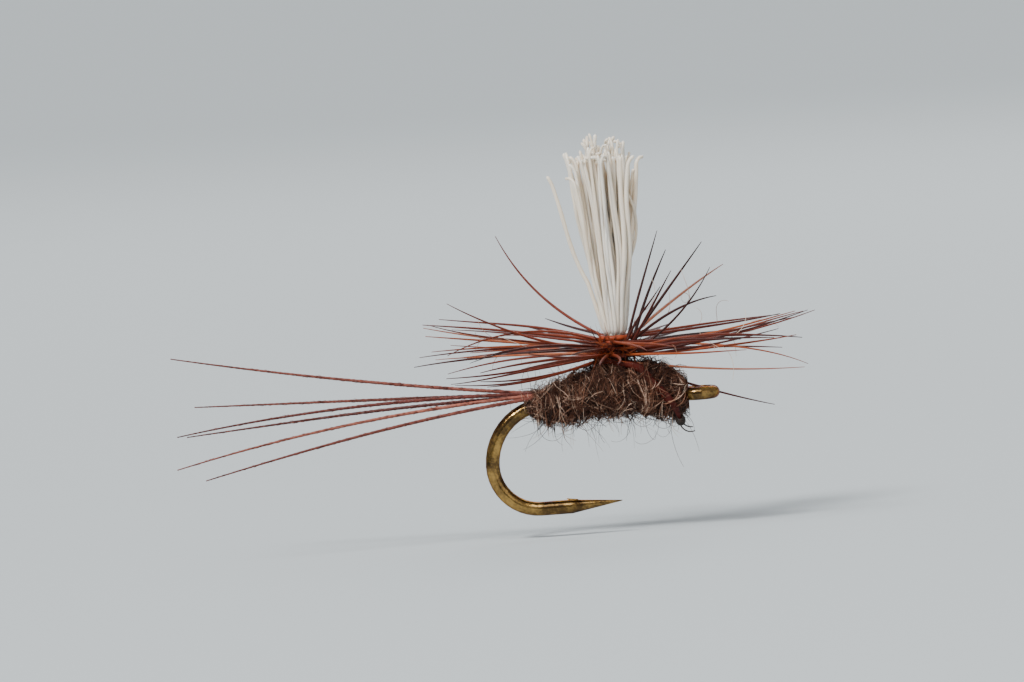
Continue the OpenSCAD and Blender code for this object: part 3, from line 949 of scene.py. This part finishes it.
def build_fur(name, front, back, seed, mess, bendy):
    """Fibres in small locks wound round the body. mess is how far they stray from the wraps, in
    radians, and bendy how much each lock curves."""
    rng = np.random.default_rng(seed)
    locks, per_lock = 380, 12
    count, steps = locks * per_lock, 6
    tuft_chance, tuft_lift = 0.18, 0.2
    loose_chance, loose_lift = 0.07, 0.34
    pale_chance, glint_chance = 0.12, 0.06
    t = np.linspace(0, 1, steps + 1)[None, :]

    def shared(values, jitter):
        """One value for each lock, a little different for each of its fibres."""
        return (np.repeat(values, per_lock) + rng.normal(0, jitter, count))[:, None]

    s0 = shared(rng.uniform(front, back, locks), 0.04)
    angle0 = shared(rng.uniform(0, 2 * np.pi, locks), 0.1)
    depth = np.clip(shared(rng.beta(1.8, 1.4, locks), 0.2), 0, 1)
    length = np.clip(shared(rng.uniform(0.4, 1.1, locks), 0.15), 0.15, 1.2)
    heading = shared(rng.normal(0.1, mess, locks) + rng.choice([0, np.pi], locks), 0.13)
    bend = shared(rng.normal(0, bendy, locks), 0.22)
    tuft = tuft_lift * np.repeat(rng.random(locks) < tuft_chance, per_lock)[:, None]
    loose = loose_lift * (rng.random((count, 1)) < loose_chance) * rng.random((count, 1))
    lift = tuft + loose + np.abs(rng.normal(0.0, 0.045, (count, 1)))

    radius0 = skin(s0, angle0)
    turn = heading + bend * t
    angle = angle0 + np.cos(turn) * length * t / radius0
    travel = np.sin(turn) * length * t * 0.8
    over_end = 0.13
    room = np.where(travel[:, -1:] > 0, back + over_end - s0, s0 - front + over_end)
    farthest = np.maximum(np.abs(travel).max(1, keepdims=True), 0.01)
    s = s0 + travel * np.minimum(1, room / farthest)
    weave = 0.035 * np.sin(t * rng.uniform(4, 11, (count, 1)) + rng.uniform(0, ANY_PHASE, (count, 1)))
    radius = skin(s, angle) * (0.9 + 0.12 * depth) + lift * t**1.7 + weave
    paths = around(s, angle, np.maximum(radius, least_fur_r))

    thick = rng.uniform(0.0085, 0.0155, count)
    pale_lock = rng.random(locks) < pale_chance
    lock_tint = np.where(pale_lock, rng.uniform(0.75, 1.0, locks), rng.beta(2.2, 2.0, locks))
    tint = np.repeat(lock_tint, per_lock) + rng.normal(0, 0.13, count)
    # painted shade: locks that lie deep under the others are darkened, as if shaded by those over them
    tint = np.clip(tint, 0, 1) * (0.35 + 0.65 * depth[:, 0])  # darker where it lies deep
    glint = rng.random(count) < glint_chance
    tint = np.where(glint, rng.uniform(0.75, 1.0, count), tint)
    # painted shade: fur on the underside of the head is darkened to half its tint
    painted_shade_under_head = (s0[:, 0] < 1.15) & (np.cos(angle0[:, 0]) < -0.35)
    tint = np.where(painted_shade_under_head, tint * 0.5, tint)
    obj = tubes(name, paths, taper(count, steps + 1, thick, hair_tip), 3, tint)
    finish_piece(obj, fur)


def build_strip_fur():
    """Loose fur that crosses over the tied-down quill on the thorax's near side."""
    rng = np.random.default_rng(71)
    count, steps = 75, 12
    down = rng.uniform(0, 1, count)
    strip_top, fall = np.array([-1.5, -0.56, 0.5]), np.array([0.85, 0, -0.8])
    root = strip_top + fall * down[:, None]
    root += rng.normal(0, 1, (count, 3)) * [0.15, 0.03, 0.15]
    azimuth = rng.choice([0, 180], count) + rng.normal(0, 12, count)
    elevation = rng.normal(0, 45, count)
    length = rng.uniform(0.35, 0.85, count)
    curl, sweep = rng.normal(0, 80, count), rng.normal(0, 12, count)
    paths = arcs(root, azimuth, elevation, length, curl, sweep, steps)
    bulge = 0.24 * np.sin(np.pi * np.linspace(0, 1, steps + 1))
    paths[:, :, 1] -= bulge * rng.uniform(0.4, 1.3, (count, 1))
    radii = taper(count, steps + 1, rng.uniform(0.0085, 0.014, count), hair_tip)
    obj = tubes("strip_fur", paths, radii, 3, rng.beta(2.2, 1.8, count))
    finish_piece(obj, fur)


def build_post_skirt():
    """Fur wound up round the post's foot, which hides the yarn below the hackle."""
    rng = np.random.default_rng(47)
    low, high = 0.5, collar_low[2] + 0.12

    def on_skirt(radius, angle, h):
        """A place round the post, h from 0 at the skirt's foot to 1 at its top."""
        along_body, across_body = 1.25 - 0.25 * h, 0.9
        x = post_x + radius * np.cos(angle) * along_body
        y = radius * np.sin(angle) * across_body
        return np.stack([x, y, low + (high - low) * h + 0 * angle], -1)

    rows, columns = 24, 48
    h = np.linspace(0, 1, rows)[:, None]
    angle = np.linspace(0, 2 * np.pi, columns, endpoint=False)[None, :]
    radius = (collar_r + 0.14 - 0.1 * h) * (1 + 0.05 * lumps(h * 2, angle, 48))
    caps = [[post_x, 0, low], [post_x, 0, high]]
    tint = np.full(rows * columns + 2, 0.4)
    # painted shade: the skirt's core takes the same near-black underfur colour
    obj = closed_rings("post_foot_underfur", on_skirt(radius, angle, h), caps, tint, flip=True)
    finish_piece(obj, painted_shade_underfur)

    count, steps = 900, 6
    t = np.linspace(0, 1, steps + 1)[None, :]
    start = rng.uniform(0, 2 * np.pi, (count, 1))
    level = rng.uniform(0, 1, (count, 1))
    span = rng.choice([-1, 1], (count, 1)) * rng.uniform(0.4, 1.4, (count, 1))
    h = np.clip(level + rng.normal(0, 0.35, (count, 1)) * t, -0.1, 1.0)
    lift = np.abs(rng.normal(0, 0.05, (count, 1))) * t**1.5
    paths = on_skirt(collar_r + 0.155 - 0.1 * h + lift, start + span * t, h)
    radii = taper(count, steps + 1, rng.uniform(0.008, 0.0135, count), hair_tip)
    obj = tubes("post_foot_fur", paths, radii, 3, rng.beta(1.6, 2.6, count))
    finish_piece(obj, fur)


def build_guard_hairs(name, node, front, back, count, seed):
    """Loose guard hairs: rooted under the skin, mostly below the body, in every direction."""
    rng = np.random.default_rng(seed)
    steps = 16
    s = rng.uniform(front, back, count)
    angle = np.pi + rng.normal(0, 1.3, count)
    root = around(s, angle, skin(s, angle) * root_depth)
    out = unit(root - spine(s)[0])
    backward, sideways = rng.normal(-0.2, 1.0, count), rng.normal(0, 0.5, count)
    scatter = np.stack([backward, sideways, rng.normal(0, 0.3, count)], -1)
    azimuth, elevation = headings(unit(out + scatter))
    length = rng.gamma(4.0, 0.15, count)
    curl, sweep = rng.normal(10, 75, count), rng.normal(0, 80, count)
    paths = arcs(root, azimuth, elevation, length, curl, sweep, steps)
    paths += wander(rng, count, steps + 1, 0.03, 3.0)
    thick = rng.uniform(0.006, 0.0105, count)
    tint = np.clip(rng.beta(1.4, 2.0, count) + 0.6 * (rng.random(count) < 0.12), 0, 1)
    obj = tubes(name, paths, taper(count, steps + 1, thick, 0.25), 4, tint)
    finish_piece(obj, guard_hair, replaces=(node,))


def build_curls(name, front, back, count, seed, round_body, length, paleness):
    """Fine loose underfur in curls and loops, from below the body or, with round_body, all round."""
    rng = np.random.default_rng(seed)
    steps = 36
    s = rng.uniform(front, back, count)
    angle = np.pi + rng.normal(0, 0.8, count) * (4.0 if round_body else 1.0)
    root = around(s, angle, skin(s, angle) * root_depth)
    azimuth = rng.choice([0, 180], count) + rng.normal(0, 35, count)
    below = np.cos(angle) < 0
    elevation = np.where(below, rng.uniform(-80, 10, count), rng.uniform(-10, 70, count))
    curl = rng.choice([-1, 1], count) * rng.uniform(40, 330, count)
    reach = rng.uniform(0.35, 1.0, count) * length
    paths = arcs(root, azimuth, elevation, reach, curl, rng.normal(0, 60, count), steps)
    tint = np.clip(rng.uniform(0, 0.5, count) + paleness, 0, 1)
    obj = tubes(name, paths, taper(count, steps + 1, 0.0065, 0.5), 4, tint)
    finish_piece(obj, guard_hair)


# ---------- thread ends ----------


def build_thread_tags():
    """The two cut thread ends, which curl forward from the knot below the head."""
    steps = 14
    tags = [
        arcs(knot + [-0.02, 0.06, -0.1], -20, -75, 0.5, 95, 0, steps),
        arcs(knot + [0.04, 0.02, -0.06], -5, -60, 0.32, 65, 0, steps),
    ]
    paths = np.concatenate(tags)
    radii = taper(len(tags), steps + 1, 0.02, 0.75, 4.0)
    obj = tubes("thread_tag_ends", paths, radii, 8, np.array([0.3, 0.6]))
    finish_piece(obj, thread, replaces=("thread_tags",))


build_stem()
build_hackle()
build_web()
build_tail()
build_post()
build_underfur("abdomen_underfur", 2.35, 4.5, 31, "abdomen_dubbing")
build_underfur("thorax_underfur", 0.32, 2.5, 37, "thorax_dubbing")
build_fur("abdomen_fur", 2.4, 4.42, 41, mess=0.45, bendy=0.9)
build_fur("thorax_fur", 0.4, 2.55, 43, mess=1.1, bendy=1.5)
build_strip_fur()
build_post_skirt()
build_guard_hairs("abdomen_hairs", "abdomen_guard_hairs", 2.4, 4.45, 170, 51)
build_guard_hairs("thorax_hairs", "thorax_guard_hairs", 0.4, 2.4, 150, 53)
build_curls("body_curls", 0.7, 4.3, 60, 61, round_body=False, length=1.8, paleness=0.0)
build_curls("tail_end_curls", 3.6, 4.5, 70, 63, round_body=True, length=1.0, paleness=0.35)
build_thread_tags()


# ---------- stage, lights and camera ----------


def build_floor():
    """A pale studio floor: flat for two metres round the fly, then a low rise that hides its edge."""
    gap = 0.0006  # metres under the hook, which a vise or a leader holds clear
    level = cad_low[2] - gap
    segments, reach, rise, rise_steps = 96, 2.0, 0.4, 16
    profile = [(0.02, 0.0), (0.1, 0.0), (0.5, 0.0)]
    for i in range(rise_steps + 1):
        a = math.radians(90 * i / rise_steps)
        profile.append((reach + rise * math.sin(a), rise * (1 - math.cos(a))))
    vertices = [(0, 0, level)]
    for r, h in profile:
        for k in range(segments):
            a = 2 * math.pi * k / segments
            vertices.append((r * math.cos(a), r * math.sin(a), level + h))
    faces = [(0, 1 + k, 1 + (k + 1) % segments) for k in range(segments)]
    for row in range(len(profile) - 1):
        for k in range(segments):
            a = 1 + row * segments + k
            b = 1 + row * segments + (k + 1) % segments
            faces.append((a, a + segments, b + segments, b))
    mesh = bpy.data.meshes.new("studio_floor")
    mesh.from_pydata(vertices, [], faces)
    floor = add_mesh("studio_floor", mesh)
    material = bpy.data.materials.new("pale_floor")
    material.use_nodes = True
    shader = material.node_tree.nodes["Principled BSDF"]
    shader.inputs["Base Color"].default_value = (0.46, 0.5, 0.51, 1)
    shader.inputs["Roughness"].default_value = 0.85
    mesh.materials.append(material)


def soft_light(name, place_mm, size, power, colour=(1, 1, 1)):
    """A square area light aimed at the middle of the fly; size in metres, power in watts."""
    data = bpy.data.lights.new(name, "AREA")
    data.size, data.energy, data.color = size, power, colour
    light = bpy.data.objects.new(name, data)
    middle = (cad_low + cad_high) / 2
    light.location = middle + Vector(place_mm) / MM
    light.rotation_euler = (middle - light.location).to_track_quat("-Z", "Y").to_euler()
    bpy.context.scene.collection.objects.link(light)


def broad_light(name, way, strength, spread):
    """Light from far away along way, softened over a cone of spread degrees; it lights the floor
    evenly."""
    data = bpy.data.lights.new(name, "SUN")
    data.energy, data.angle = strength, math.radians(spread)
    light = bpy.data.objects.new(name, data)
    light.rotation_euler = Vector(way).to_track_quat("-Z", "Y").to_euler()
    bpy.context.scene.collection.objects.link(light)


def build_world():
    world = bpy.data.worlds.new("soft_sky")
    world.use_nodes = True
    background = world.node_tree.nodes["Background"]
    background.inputs["Color"].default_value = (0.93, 0.95, 1.0, 1)
    background.inputs["Strength"].default_value = 0.5
    bpy.context.scene.world = world


def build_camera():
    """A long macro lens from the fly's right side, rolled so that the fly sits nose-up."""
    roll, elevation = math.radians(4.27), math.radians(3.0)
    width_mm, distance, sensor_mm = 26.95, 0.3, 36
    centre = Vector((-4.80, 0, 1.72)) / MM
    right = Vector((1, 0, 0))
    top = Vector((0, math.sin(elevation), math.cos(elevation)))
    rolled_right = right * math.cos(roll) - top * math.sin(roll)
    rolled_top = right * math.sin(roll) + top * math.cos(roll)
    back = rolled_right.cross(rolled_top)
    data = bpy.data.cameras.new("macro_camera")
    data.sensor_width = sensor_mm
    data.lens = sensor_mm * distance * MM / width_mm
    data.clip_start, data.clip_end = 0.01, 20
    camera = bpy.data.objects.new("macro_camera", data)
    turn = Matrix((rolled_right, rolled_top, back)).transposed().to_4x4()
    camera.matrix_world = Matrix.Translation(centre + back * distance) @ turn
    bpy.context.scene.collection.objects.link(camera)
    bpy.context.scene.camera = camera


build_floor()
build_world()
broad_light("key", (0.45, 0.6, -0.75), 3.9, 14)
soft_light("window", (-130, -170, 200), 0.09, 0.1)
soft_light("flash", (-10, -150, 190), 0.12, 0.2)
soft_light("fill", (190, -210, 60), 0.22, 0.1, (0.95, 0.97, 1.0))
soft_light("rim", (60, 220, 160), 0.16, 0.2)
build_camera()
